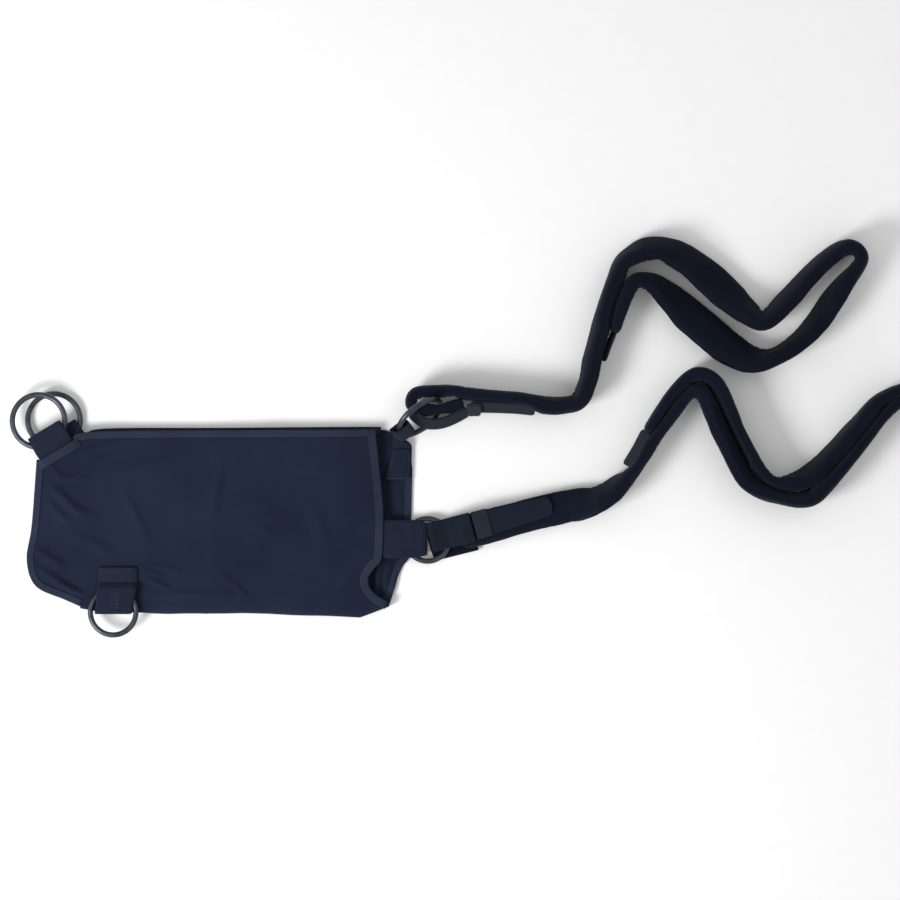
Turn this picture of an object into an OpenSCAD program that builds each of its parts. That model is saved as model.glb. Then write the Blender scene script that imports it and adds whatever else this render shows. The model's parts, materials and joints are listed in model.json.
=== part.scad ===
// Webbing-and-ring carrying harness: a folded twill sheet with five ringed tabs
// and two long padded strap loops that close round two of the rings.
// X runs along the harness, Z points up, the harness lies on the XY plane.

/* [Sheet] */
// Thickness of the twill sheet
sheet_t = 1.2; // [1:0.1:1.4]
// Outer radius of the rolled fold between the two leaves
fold_r = 5; // [4.9:0.1:5.2]
// Width of the hem along each free edge
hem_w = 7; // [5:0.5:9]
// Thickness that a hem adds to the sheet
hem_t = 0.6; // [0.4:0.1:0.8]

/* [Rings] */
// Outer diameter of the two corner rings
corner_od = 58; // [57:0.5:59]
// Outer diameter of the tilted ring of the upper strap
tilted_od = 56; // [55:0.5:57]
// Outer diameter of the ring on the front leaf
face_od = 51; // [50.5:0.5:52]
// Outer diameter of the lower strap's ring
lower_od = 48; // [47.5:0.5:49]
// Diameter of the ring wire
wire_d = 5.5; // [5:0.1:5.6]

/* [Webbing] */
// Width of the webbing tabs
tape_w = 39; // [36:0.5:39]
// Thickness of one layer of webbing
tape_t = 1.5; // [1.3:0.1:1.6]
// Width of the narrow tab that stands up to the tilted ring
narrow_w = 26; // [22:1:28]

/* [Straps] */
// Half width of a padded strap when it stands on its edge
strap_half = 18.5; // [18:0.1:18.6]
// Half height of a padded strap when it lies flat
flat_half = 8.5; // [8:0.1:8.6]
// Wall of the knitted sleeve
sleeve_t = 1.5; // [1.2:0.1:1.6]

/* [Hidden] */
fit = 0.3;                      // running clearance between separate pieces
pocket_h = wire_d / 2 + fit + tape_t;   // half height of webbing round a ring
back_top = sheet_t;
fold_y = -169;                  // fold axis, along X
fold_z = back_top + fold_r;
front_z = fold_z + fold_r + fit;
front_top = front_z + sheet_t;

// Ring centres
front_corner = [-428, 16, front_top + pocket_h];
back_corner = [-413.5, 17, back_top + pocket_h];
face_ring_at = [-353.5, -175, front_top + pocket_h];
lower_ring_at = [-39.5, -103, front_z - pocket_h];
lower_tab_y = -102;
lower_end_y = -98.8;
upper_ring_at = [-47, 19.5, 26];
corner_heading = -59;           // from a corner ring to its stitching
upper_heading = 38;             // the tilted ring's level diameter
upper_tilt = 65;
lower_heading = 14;             // from the lower ring along its strap
stitch_x = 4;                   // stitching line, beyond the ring's outer edge
sewn_l = 11;                    // sewn length of a corner tab
face_sewn_l = 16;
side_sewn_l = 20;
narrow_sewn_l = 31;
riser_y = -10.7;                // where the narrow tab leaves the back leaf
narrow_x = -82;                 // left edge of the narrow tab
riser_gap = 6;                  // the hem stops this far from the narrow tab
corner_fold = 10.2;             // from a ring's centre to the fold of its tab
face_fold = -1.5;
lower_fold = 0.6;
strap_fold = 3.8;
upper_fold = 12;
edge_x = -84.5;                 // right edge of the front leaf at the lower tab

FRONT = [[-428, -22.5], [-394, -2], [-385, 4], [-327, 6], [-127, 7], [-93, 9],
         [-88, -30], [edge_x, -70], [edge_x, -122], [-92, -142], [-90, fold_y],
         [-386, fold_y], [-402, -162], [-430, -148], [-438, -122], [-433, -88]];
BACK = [[-413.7, -21.6], [-379.3, -1.2], [-366, 8], [-100, 10], [-82, 8], [-68, 0],
        [-58, -30], [-56, -76], [-60, -128], [-72, -150], [-76, fold_y],
        [-386, fold_y], [-402, -162], [-426, -148], [-434, -122], [-424, -60]];
FRONT_LEFT = [[-428, -22.5], [-433, -88], [-438, -122], [-430, -148], [-402, -162],
              [-386, fold_y]];
FRONT_TOP = [[-93, 9], [-127, 7], [-327, 6], [-385, 4], [-394, -2]];
FRONT_RIGHT = [[-90, fold_y], [-92, -142], [edge_x, -122], [edge_x, -70], [-88, -30],
               [-93, 9]];
BACK_LEFT = [[-413.7, -21.6], [-424, -60], [-434, -122], [-426, -148], [-402, -162],
             [-386, fold_y]];
BACK_TOP = [[-82, 8], [-100, 10], [-366, 8], [-379.3, -1.2]];
BACK_RIGHT = [[-76, fold_y], [-72, -150], [-60, -128], [-56, -76], [-58, -30], [-68, 0],
              [-82, 8]];

// Padded strap routes: x, y and half width seen from above
ROUTE_A = [[-13, 46, 6], [-2, 43.5, 7], [23, 41, 6.5], [53, 38, 6.5], [78, 32, 9],
    [98, 32, 8.5], [112, 37, 9], [121, 57, 9], [125, 77, 9.5], [130, 97, 9],
    [134, 117, 8], [140, 137, 7.5], [147, 157, 7.5], [155, 173, 9], [165, 181, 10],
    [178, 187, 12], [194, 188, 12.5], [210, 182, 15], [226, 172, 15.5], [244, 157, 17],
    [262, 141, 16.5], [279, 126, 13.5], [297, 116.5, 10.3], [321, 138, 10.5], [342, 161, 10],
    [360, 178, 9.5], [376, 188, 9], [388, 188, 7], [394, 179, 6.5], [388, 167, 7.5],
    [375, 151, 10], [363, 134, 11.5], [350, 115, 11.5], [332, 96, 10.5], [307, 80, 9.5],
    [284, 78, 14], [263, 88, 17], [243, 104, 17], [223, 121, 17], [204, 139, 14.5],
    [186, 153, 11], [170, 156, 7.5], [161, 143, 6.5], [154, 125, 6], [148, 104, 4.5]];
ROUTE_B = [[-8, -95, 17], [13, -91.5, 17], [39, -84.5, 17], [67, -77, 17], [95, -70.5, 17],
    [123, -65, 13.5], [140, -57, 12], [153, -47, 10], [164, -37, 7], [175, -22, 6],
    [184, -8, 5.8], [193, 5, 5.6], [203, 18, 5.8], [212, 31, 6], [220, 40.5, 6],
    [229, 46, 5.8], [237, 37, 6.5], [244, 24, 8], [252, 8, 9.5], [261, -9, 10], [270, -28, 10],
    [279, -44, 9], [293, -54, 8], [315, -62, 6.2], [333, -65, 6], [348, -61, 6],
    [364, -45.5, 5.5], [382, -23.5, 5.5], [400, -0.5, 5.5], [416, 20, 5.5], [429, 32, 5.5],
    [439, 35.5, 5.5], [444.5, 41.5, 5.5], [440, 47.5, 5.5], [429, 46, 5.5], [418, 40.5, 6.3],
    [407, 32, 7.8], [394, 16, 8.5], [384, 5, 9],
    [367, -14, 9.5], [348, -31, 9], [328, -42.5, 7.5], [308, -44.5, 5.2], [292.5, -30, 5.2],
    [274.5, 2, 5.2], [265.5, 24, 5.2], [257, 44, 5.5], [247, 58.5, 5.8], [234, 64, 6],
    [221, 60, 6], [203, 40.5, 6], [185, 14, 4.8], [179, 5.5, 4.2]];
// The strap's cross-section, a rounded band, in half widths and half heights
SECTION = [[1, -0.5], [1, 0.5], [0.5, 1], [-0.5, 1], [-1, 0.5], [-1, -0.5], [-0.5, -1],
           [0.5, -1]];
steps = 2;                      // stations between two points of a route

// Upper strap where it turns through the tilted ring, standing on its edge
PAD_A = [[-12, 46], [-44, 46], [-52, 43], [-56, 36], [-56, 31]];
FLAP_A = [[-54, 29], [-46, 24.5], [-38, 24.5], [-26, 24.8], [-14, 27], [-4, 30]];
TAPE_A = [[-55.5, 25], [-50, 19.5], [-43, 12], [-36, 9.5], [-25, 13], [-12, 23], [-1, 32.5]];
CLOSE_A = [[1, 33.2], [25, 31.8], [50, 29], [66, 25]];
FAR_A = [[146.6, 102], [141.5, 88], [137.5, 75]];
FAR_B = [[176.5, 1.5], [168.5, -11], [158.5, -26]];
pad_a_t = 11;
flap_low = 29.6;
flap_half = 4;
edge_low = 7.5;                 // lower and upper edges of the tape in the tilted ring
edge_high = 33.5;
far_low = 5;
far_high = 29;
close_x = 16;                   // hinge of the lower closure tab, along its strap
close_l = 80;
close_heading = 15;
ring_tape_l = 36;               // from the lower ring into the sleeve
ring_tape_w = 27;
strap_top = 2 * flat_half;

twill = "#2a3347";
tape_colour = "#26303f";
metal = "#4a4d55";
sleeve_colour = "#161b27";
hook_colour = "#353f4d";
foam_colour = "#3a3a3a";

// ---- plain geometry ----
function unit(v) = v / norm(v);
function heading(p, i) = unit(p[min(i + 1, len(p) - 1)] - p[max(i - 1, 0)]);
function left_of(d) = [-d[1], d[0]];
function corner_scale(p, i) = i == 0 || i == len(p) - 1 ? 1
    : 1 / cos(acos(min(1, unit(p[i] - p[i - 1]) * unit(p[i + 1] - p[i]))) / 2);
function corner_left(p, i) = i == 0 || i == len(p) - 1 ? left_of(heading(p, i))
    : unit(left_of(unit(p[i] - p[i - 1])) + left_of(unit(p[i + 1] - p[i])));
function shifted(p, d) = [for (i = [0:len(p) - 1])
    p[i] + d * corner_scale(p, i) * corner_left(p, i)];
function reversed(p) = [for (i = [len(p) - 1:-1:0]) p[i]];

// A strip between two parallel copies of a line
module strip(p, from, to) {
    polygon(concat(shifted(p, from), reversed(shifted(p, to))));
}

module slab(z, h) {
    translate([0, 0, z])
        linear_extrude(h)
            children();
}

// ---- swept straps ----
function curve(p0, p1, p2, p3, t) = 0.5 * (2 * p1 + (p2 - p0) * t
    + (2 * p0 - 5 * p1 + 4 * p2 - p3) * t * t + (3 * p1 - p0 - 3 * p2 + p3) * t * t * t);
function smooth(p) = concat([for (i = [0:len(p) - 2]) for (j = [0:steps - 1])
    curve(p[max(i - 1, 0)], p[i], p[i + 1], p[min(i + 2, len(p) - 1)], j / steps)],
    [p[len(p) - 1]]);
function xy(q) = [q[0], q[1]];
function half_height(a) = max(flat_half, sqrt(max(0, strap_half * strap_half - a * a)));
// One ring of the sweep, drawn in from the outside by inset
function station(q, d, inset) = [for (s = SECTION)
    let (n = left_of(d), a = q[2] - inset, b = half_height(q[2]))
    [q[0] + n[0] * s[0] * a, q[1] + n[1] * s[0] * a, b + s[1] * (b - inset)]];

module sweep(route, inset, over) {
    p = smooth(route);
    last = len(p) - 1;
    dirs = [for (i = [0:last]) heading([for (q = p) xy(q)], i)];
    ends = [for (i = [0:last]) i == 0 ? -over : i == last ? over : 0];
    rings = [for (i = [0:last])
        let (q = [p[i][0] + ends[i] * dirs[i][0], p[i][1] + ends[i] * dirs[i][1], p[i][2]])
        station(q, dirs[i], inset)];
    n = len(SECTION);
    sides = [for (i = [0:last - 1]) for (j = [0:n - 1]) let (k = (j + 1) % n)
        [i * n + j, (i + 1) * n + j, (i + 1) * n + k, i * n + k]];
    caps = [[for (j = [0:n - 1]) j], [for (j = [n - 1:-1:0]) last * n + j]];
    polyhedron([for (r = rings) for (v = r) v], concat(sides, caps), convexity = 12);
}

module sleeve(route) {
    color(sleeve_colour)
        difference() {
            sweep(route, 0, 0);
            sweep(route, sleeve_t, 1);
        }
}

// ---- rings and the webbing folded round them ----
module ring(od) {
    color(metal)
        rotate_extrude($fn = 72)
            translate([(od - wire_d) / 2, 0])
                circle(d = wire_d, $fn = 32);
}

// Webbing round a ring at the origin, its plies meeting towards +X at the lower face
module ring_pocket(od, fold_x, end_x, width) {
    inner = pocket_h - tape_t;
    low = 2 * tape_t - pocket_h;
    bend = fold_x + pocket_h;
    rotate([90, 0, 0])
        linear_extrude(width, center = true)
            difference() {
                union() {
                    translate([bend, 0])
                        circle(pocket_h, $fn = 48);
                    polygon([[bend, -pocket_h], [end_x, -pocket_h], [end_x, low],
                             [od / 2 + 3.2, low], [od / 2 + 0.8, pocket_h],
                             [bend, pocket_h]]);
                }
                translate([bend, 0])
                    circle(inner, $fn = 48);
                polygon([[bend, -inner], [od / 2 + 1.5, -inner], [od / 2 - 0.5, inner],
                         [bend, inner]]);
            }
}

// The sewn end of a tab, seen from above, beyond a ring's stitching line
module tab_end(at, turn, from, length, width) {
    translate([at[0], at[1]])
        rotate(turn)
            translate([from, -width / 2])
                square([length, width]);
}

// ---- sheet ----
module back_leaf() {
    color(twill)
        slab(0, sheet_t)
            polygon(BACK);
}

module front_leaf() {
    color(twill)
        slab(front_z, sheet_t)
            polygon(FRONT);
}

// Half a rolled tube with a flap that lies on the back leaf
module fold_strip() {
    length = 290;
    color(twill)
        translate([-384, fold_y, fold_z])
            rotate([90, 0, 90])
                linear_extrude(length) {
                    difference() {
                        circle(fold_r, $fn = 48);
                        circle(fold_r - sheet_t, $fn = 48);
                        translate([0, -10])
                            square([10, 20]);
                    }
                    translate([0, -fold_r])
                        square([10, sheet_t]);
                }
}

module front_hem(p) {
    color(tape_colour)
        slab(front_top, hem_t)
            difference() {
                strip(p, 0.2, hem_w);
                tab_end(front_corner, corner_heading, 30, 20, tape_w + 2);
                children();
            }
}

module back_hem(p) {
    color(tape_colour)
        slab(back_top, hem_t)
            difference() {
                strip(p, 0.2, hem_w);
                tab_end(back_corner, corner_heading, 30, 20, tape_w + 2);
                translate([-500, fold_y - 1])
                    square([500, 12]);
                children();
            }
}

module front_left_hem() {
    front_hem(FRONT_LEFT);
}

module front_top_hem() {
    front_hem(FRONT_TOP)
        strip(FRONT_RIGHT, -1, hem_w);
}

module front_right_hem() {
    front_hem(FRONT_RIGHT);
}

module back_left_hem() {
    back_hem(BACK_LEFT);
}

module back_top_hem() {
    back_hem(BACK_TOP)
        strip(BACK_RIGHT, -1, hem_w);
}

module back_right_hem() {
    back_hem(BACK_RIGHT)
        offset(delta = riser_gap)
            upper_end_outline();
}

// ---- sewn ends of the five tabs ----
module front_corner_tab_end() {
    color(tape_colour)
        slab(front_top, 2 * tape_t)
            tab_end(front_corner, corner_heading, corner_od / 2 + stitch_x + fit, sewn_l, tape_w);
}

module back_corner_tab_end() {
    color(tape_colour)
        slab(back_top, 2 * tape_t)
            tab_end(back_corner, corner_heading, corner_od / 2 + stitch_x + fit, sewn_l, tape_w);
}

module face_tab_end() {
    color(tape_colour)
        slab(front_top, 2 * tape_t)
            tab_end(face_ring_at, 90, face_od / 2 + stitch_x + fit, face_sewn_l, tape_w);
}

module upper_end_outline() {
    translate([narrow_x, riser_y - fit - narrow_sewn_l])
        square([narrow_w, narrow_sewn_l]);
}

module upper_tab_end() {
    color(tape_colour)
        slab(back_top, 2 * tape_t)
            upper_end_outline();
}

module lower_tab_end() {
    color(tape_colour)
        slab(front_z - 2 * tape_t, 2 * tape_t)
            translate([edge_x - side_sewn_l, lower_end_y - tape_w / 2])
                square([side_sewn_l, tape_w]);
}

// ---- the five tabs beyond their stitching ----
module front_corner_tab() {
    color(tape_colour)
        translate(front_corner)
            rotate(corner_heading)
                ring_pocket(corner_od, corner_fold, corner_od / 2 + stitch_x, tape_w);
}

module back_corner_tab() {
    color(tape_colour)
        translate(back_corner)
            rotate(corner_heading)
                ring_pocket(corner_od, corner_fold, corner_od / 2 + stitch_x, tape_w);
}

module face_tab() {
    color(tape_colour)
        translate(face_ring_at)
            rotate(90)
                ring_pocket(face_od, face_fold, face_od / 2 + stitch_x, tape_w);
}

module lower_tab() {
    color(tape_colour)
        translate([lower_ring_at[0], lower_tab_y, lower_ring_at[2]])
            rotate(180)
                mirror([0, 0, 1])
                    ring_pocket(lower_od, lower_fold, lower_ring_at[0] - edge_x - fit,
                                tape_w - 6);
}

// Places its children in the tilted ring's own frame
module at_upper_ring() {
    translate(upper_ring_at)
        rotate([0, 0, upper_heading])
            rotate([upper_tilt, 0, 0])
                children();
}

// A point of the tilted ring's frame in the harness's frame
function from_upper(v) = let (c = cos(upper_heading), s = sin(upper_heading),
    ct = cos(upper_tilt), st = sin(upper_tilt), y = v[1] * ct - v[2] * st,
    z = v[1] * st + v[2] * ct)
    [c * v[0] - s * y, s * v[0] + c * y, z];

// Two plies that rise from the back leaf and turn on edge to meet the tilted ring
module upper_tab_riser() {
    levels = 6;
    start = [narrow_x + narrow_w / 2, riser_y, back_top + tape_t];
    finish = upper_ring_at + from_upper([-tilted_od / 2 - 3, 0, tape_t - pocket_h]);
    w0 = [narrow_w / 2, 0, 0];
    w1 = from_upper([0, -narrow_w / 2, 0]);
    t0 = [0, 0, tape_t];
    t1 = from_upper([0.4, 0, 0.9]) * tape_t;
    points = [for (i = [0:levels]) let (f = i / levels, e = f * f * (3 - 2 * f))
        for (q = [[-1, -1], [1, -1], [1, 1], [-1, 1]])
        start + (finish - start) * f + (w0 + (w1 - w0) * e) * q[0]
            + (t0 + (t1 - t0) * e) * q[1]];
    sides = [for (i = [0:levels - 1]) for (j = [0:3]) let (k = (j + 1) % 4)
        for (f = [[i * 4 + j, i * 4 + k, i * 4 + 4 + j],
                  [i * 4 + k, i * 4 + 4 + k, i * 4 + 4 + j]])
        f];
    color(tape_colour)
        polyhedron(points, concat(sides, [[3, 2, 1, 0]], [[for (j = [0:3]) levels * 4 + j]]));
}

module upper_tab() {
    color(tape_colour)
        at_upper_ring()
            rotate(180)
                ring_pocket(tilted_od, upper_fold, tilted_od / 2 + stitch_x, narrow_w);
}

// ---- rings ----
module front_corner_ring() {
    translate(front_corner)
        ring(corner_od);
}

module back_corner_ring() {
    translate(back_corner)
        ring(corner_od);
}

module face_ring() {
    translate(face_ring_at)
        ring(face_od);
}

module upper_ring() {
    at_upper_ring()
        ring(tilted_od);
}

module lower_ring() {
    translate(lower_ring_at)
        ring(lower_od);
}

// ---- upper strap ----
module upper_strap_sleeve() {
    sleeve(ROUTE_A);
}

module upper_strap_core() {
    color(foam_colour)
        sweep(ROUTE_A, sleeve_t + fit, -4);
}

module upper_strap_end_pad() {
    color(sleeve_colour) {
        slab(edge_low, edge_high - edge_low)
            strip(PAD_A, -pad_a_t / 2, pad_a_t / 2);
        slab(flap_low, edge_high - flap_low)
            strip(FLAP_A, -flap_half, flap_half);
    }
}

module upper_strap_ring_tape() {
    color(tape_colour)
        slab(edge_low, edge_high - edge_low)
            strip(concat([PAD_A[len(PAD_A) - 1]], TAPE_A), -tape_t, tape_t);
}

module upper_strap_ring_closure() {
    color(hook_colour)
        slab(edge_low, edge_high - edge_low)
            strip(CLOSE_A, -tape_t / 2, tape_t / 2);
}

module upper_strap_far_closure() {
    color(hook_colour)
        slab(far_low, far_high - far_low)
            strip(FAR_A, -tape_t / 2, tape_t / 2);
}

// ---- lower strap ----
module lower_strap_sleeve() {
    sleeve(ROUTE_B);
}

module lower_strap_core() {
    color(foam_colour)
        sweep(ROUTE_B, sleeve_t + fit, -4);
}

module lower_strap_ring_tape() {
    color(tape_colour)
        translate(lower_ring_at)
            rotate(lower_heading)
                mirror([0, 0, 1])
                    ring_pocket(lower_od, strap_fold, ring_tape_l, ring_tape_w);
}

// A flat strip on top of the strap, between two places along its length
module top_strip(from, to) {
    translate([lower_ring_at[0] + 31, lower_ring_at[1] + 10, strap_top + 0.4])
        rotate(close_heading)
            translate([from, 0, 0])
                slab(0, tape_t)
                    intersection() {
                        translate([0, -14])
                            square([to - from, 28]);
                        translate([-60, 0])
                            offset(6)
                                translate([6, -8])
                                    square([to - from + 48, 16]);
                    }
}

module lower_strap_loop_tape() {
    color(hook_colour)
        top_strip(0, close_x - fit);
}

module lower_strap_ring_closure() {
    color(hook_colour)
        top_strip(close_x, close_x + close_l);
}

module lower_strap_far_closure() {
    color(hook_colour)
        slab(far_low, far_high - far_low)
            strip(FAR_B, -tape_t / 2, tape_t / 2);
}

back_leaf();
front_leaf();
fold_strip();
front_left_hem();
front_top_hem();
front_right_hem();
back_left_hem();
back_top_hem();
back_right_hem();
front_corner_tab_end();
back_corner_tab_end();
face_tab_end();
upper_tab_end();
lower_tab_end();
front_corner_tab();
back_corner_tab();
face_tab();
upper_tab();
upper_tab_riser();
lower_tab();
front_corner_ring();
back_corner_ring();
face_ring();
upper_ring();
lower_ring();
upper_strap_sleeve();
upper_strap_core();
upper_strap_end_pad();
upper_strap_ring_tape();
upper_strap_ring_closure();
upper_strap_far_closure();
lower_strap_sleeve();
lower_strap_core();
lower_strap_ring_tape();
lower_strap_loop_tape();
lower_strap_ring_closure();
lower_strap_far_closure();
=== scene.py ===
"""Looks for the padded-strap ring harness. Lengths are in millimetres until a mesh is made,
and the floor, lights and camera are in metres."""

import json
import math

import bpy
import numpy as np
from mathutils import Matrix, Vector


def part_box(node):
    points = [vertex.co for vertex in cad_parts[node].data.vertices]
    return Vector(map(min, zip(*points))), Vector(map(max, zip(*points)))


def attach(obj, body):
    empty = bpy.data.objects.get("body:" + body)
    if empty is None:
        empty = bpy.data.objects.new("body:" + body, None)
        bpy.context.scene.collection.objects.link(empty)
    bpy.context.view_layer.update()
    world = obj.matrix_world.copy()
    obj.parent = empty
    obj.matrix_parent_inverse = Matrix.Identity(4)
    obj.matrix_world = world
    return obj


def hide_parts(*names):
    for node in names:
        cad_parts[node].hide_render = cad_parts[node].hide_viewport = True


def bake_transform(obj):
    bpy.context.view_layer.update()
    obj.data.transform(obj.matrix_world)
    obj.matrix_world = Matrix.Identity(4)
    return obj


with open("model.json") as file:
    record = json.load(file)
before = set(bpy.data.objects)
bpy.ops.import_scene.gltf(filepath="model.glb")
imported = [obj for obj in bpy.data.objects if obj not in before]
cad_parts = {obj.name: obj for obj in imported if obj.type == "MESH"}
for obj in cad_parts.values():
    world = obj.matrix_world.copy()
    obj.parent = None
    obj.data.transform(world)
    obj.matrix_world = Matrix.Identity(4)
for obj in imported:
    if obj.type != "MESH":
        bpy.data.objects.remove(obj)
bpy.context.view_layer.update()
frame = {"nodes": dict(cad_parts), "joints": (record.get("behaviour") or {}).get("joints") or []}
MM = 0.001

# ---- sizes shared with the CAD model ----
SHEET_T = 1.2
TAPE_T = 1.5
WIRE_D = 5.5
FIT = 0.3
POCKET_H = WIRE_D / 2 + FIT + TAPE_T
LOOP_H = WIRE_D / 2 + FIT + TAPE_T / 2    # middle of a tape that goes round a ring's wire
TAPE_W = 39
NARROW_W = 26
HEM_W = 7
BAND_HALF = 18.0      # half width of a padded band
BAND_THICK = 8.3      # half thickness of a padded band
PAD_HALF = 13.0       # half height of the pad in the tilted ring
PAD_MIDDLE = 20.5     # height of that pad's middle
FOLD_Y = -169         # line of the fold
FOLD_Z = 6.2          # height of the fold's middle
FOLD_R = 6.0          # how far the fold reaches beyond its line
FRONT_Z = 12.1        # middle of the front leaf
BACK_Z = 0.7          # middle of the back leaf
LOWER_HEADING = math.radians(15)    # of the lower strap at its ring

# Padded strap routes: x, y and half width seen from above
ROUTE_A = [(-54.5, 27, 5.5), (-55.5, 36, 6), (-52, 42.5, 6.2), (-44, 45, 6.2),
           (-30, 45.5, 6.3), (-13, 46, 6), (-2, 43.5, 7), (23, 41, 6.5), (53, 38, 6.5),
           (78, 32, 9), (98, 32, 8.5), (112, 37, 9), (121, 57, 9), (125, 77, 9.5),
           (130, 97, 9), (134, 117, 8), (140, 137, 7.5), (147, 157, 7.5), (155, 173, 9),
           (165, 181, 10), (178, 187, 12), (194, 188, 12.5), (210, 182, 15), (226, 172, 15.5),
           (244, 157, 17), (262, 141, 16.5), (279, 126, 13.5), (297, 116.5, 10.3),
           (321, 138, 10.5), (342, 161, 10), (360, 178, 9.5), (376, 188, 9), (388, 188, 7),
           (394, 179, 6.5), (388, 167, 7.5), (375, 151, 10), (363, 134, 11.5),
           (350, 115, 11.5), (332, 96, 10.5), (307, 80, 9.5), (284, 78, 14), (263, 88, 17),
           (243, 104, 17), (223, 121, 17), (204, 139, 14.5), (186, 153, 11), (170, 156, 7.5),
           (161, 143, 6.5), (154, 125, 6), (148, 104, 4.5)]
ROUTE_B = [(-8, -95, 17), (13, -91.5, 17), (39, -84.5, 17), (67, -77, 17), (95, -70.5, 17),
           (123, -65, 13.5), (140, -57, 12), (153, -47, 10), (164, -37, 7), (175, -22, 6),
           (184, -8, 5.8), (193, 5, 5.6), (203, 18, 5.8), (212, 31, 6), (220, 40.5, 6),
           (229, 46, 5.8), (237, 37, 6.5), (244, 24, 8), (252, 8, 9.5), (261, -9, 10),
           (270, -28, 10), (279, -44, 9), (293, -54, 8), (315, -62, 6.2), (333, -65, 6),
           (348, -61, 6), (364, -45.5, 5.5), (382, -23.5, 5.5), (400, -0.5, 5.5),
           (416, 20, 5.5), (429, 32, 5.5), (439, 35.5, 5.5), (444.5, 41.5, 5.5),
           (440, 47.5, 5.5), (429, 46, 5.5), (418, 40.5, 6.3), (407, 32, 7.8), (394, 16, 8.5),
           (384, 5, 9), (367, -14, 9.5), (348, -31, 9), (328, -42.5, 7.5), (308, -44.5, 5.2),
           (292.5, -30, 5.2), (274.5, 2, 5.2), (265.5, 24, 5.2), (257, 44, 5.5),
           (247, 58.5, 5.8), (234, 64, 6), (221, 60, 6), (203, 40.5, 6), (185, 14, 4.8),
           (179, 5.5, 4.2)]
UPPER_TAPE = [(-55.5, 25), (-50, 19), (-43, 14.5), (-36, 13), (-25, 14), (-12, 19), (0.5, 26.2)]
UPPER_CLOSURE = [(3, 30), (25, 29.6), (50, 28.6), (68, 26.6)]
UPPER_BAND = [(0, 26.8), (7, 27.4), (14, 27)]
UPPER_FAR = [(147.3, 106), (140.6, 89), (136, 76)]
LOWER_FAR = [(179.6, 6), (170.6, -11.6), (160, -29)]
INNER_PAD = [(-51, 29.5), (-45, 27.5), (-36, 27.2), (-26, 27.6), (-14, 30.4), (-3, 32.4)]

# Leaf outlines: (y, x) of the side edges from the fold up, (x, y) of the top edges
FRONT_LEFT = [(-176, -386), (-169, -387), (-162, -403), (-149, -431), (-123, -440), (-88, -435),
              (-22.5, -430), (-2, -395), (4, -386), (9, -380)]
FRONT_RIGHT = [(-176, -78), (-165, -79), (-159, -90), (-150, -98), (-140, -99), (-130, -92),
               (-120, -85.5), (-78, -84), (-55, -85.5), (-30, -88), (9, -93)]
FRONT_TOP = [(-385, 3.5), (-327, 5), (-127, 5.5), (-93, 7.5)]
BACK_LEFT = [(-176, -386), (-169, -386), (-162, -402), (-148, -426), (-122, -434), (-60, -424),
             (-21.6, -413.7), (-1.2, -379.3), (8, -366), (12, -364)]
BACK_RIGHT = [(-176, -80), (-165, -77), (-150, -72), (-140, -69.5), (-128, -64), (-118, -58),
              (-76, -56), (-30, -55), (-8, -57), (2, -68), (8, -84), (10, -90)]
BACK_TOP = [(-366, 6.5), (-100, 8), (-82, 7)]
# How much further the rolled fold reaches along its length: x, extra reach
FOLD_SAG = [(-388, -4.2), (-372, -1), (-352, 0), (-325, 0), (-300, 1.5), (-262, 2), (-225, 0.2),
            (-198, 0.8), (-160, 3), (-107, 5.5), (-90, -1), (-79, -5.4)]


# ---- small geometry helpers ----
def unit(v):
    v = np.asarray(v, float)
    return v / max(np.linalg.norm(v), 1e-9)


def unit_rows(v):
    return v / np.maximum(np.linalg.norm(v, axis=1), 1e-9)[:, None]


def left_of(line):
    """Unit vectors in plan that point to the left along a line."""
    direction = np.gradient(line[:, :2], axis=0)
    return unit_rows(np.stack([-direction[:, 1], direction[:, 0]], axis=1))


def clamp(f):
    return min(1.0, max(0.0, f))


def ease(f):
    """0 to 1 with a gentle start and end."""
    return f * f * (3 - 2 * f)


def rounded(gap, radius):
    """Share of the full width at a distance `gap` from a round end."""
    return np.sqrt(1 - (1 - np.clip(gap / radius, 0, 1)) ** 2)


def path_length(points):
    """Distance along a path at each of its points."""
    return np.r_[0, np.cumsum(np.linalg.norm(np.diff(points, axis=0), axis=1))]


def catmull(points, spacing):
    """Points every `spacing` in plan along a smooth curve through the given ones."""
    p = np.array(points, float)
    out = []
    for i in range(len(p) - 1):
        a, b, c, d = p[max(i - 1, 0)], p[i], p[i + 1], p[min(i + 2, len(p) - 1)]
        for t in np.linspace(0, 1, 16, endpoint=False):
            out.append(0.5 * (2 * b + (c - a) * t + (2 * a - 5 * b + 4 * c - d) * t * t
                              + (3 * b - a - 3 * c + d) * t ** 3))
    out.append(p[-1])
    out = np.array(out)
    along = path_length(out[:, :2])
    n = max(3, int(round(along[-1] / spacing)) + 1)
    at = np.linspace(0, along[-1], n)
    return np.stack([np.interp(at, along, out[:, k]) for k in range(out.shape[1])], axis=1)


def value_noise(x, y, cell, seed):
    """Smooth noise from -1 to 1 with features about `cell` across."""
    def lattice(i, j):
        h = np.sin(i * 127.1 + j * 311.7 + seed * 74.7) * 43758.5453
        return 2 * (h - np.floor(h)) - 1
    u, v = np.asarray(x) / cell, np.asarray(y) / cell
    i, j = np.floor(u), np.floor(v)
    f, g = u - i, v - j
    f, g = ease(f), ease(g)
    low = lattice(i, j) * (1 - f) + lattice(i + 1, j) * f
    high = lattice(i, j + 1) * (1 - f) + lattice(i + 1, j + 1) * f
    return low * (1 - g) + high * g


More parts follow.
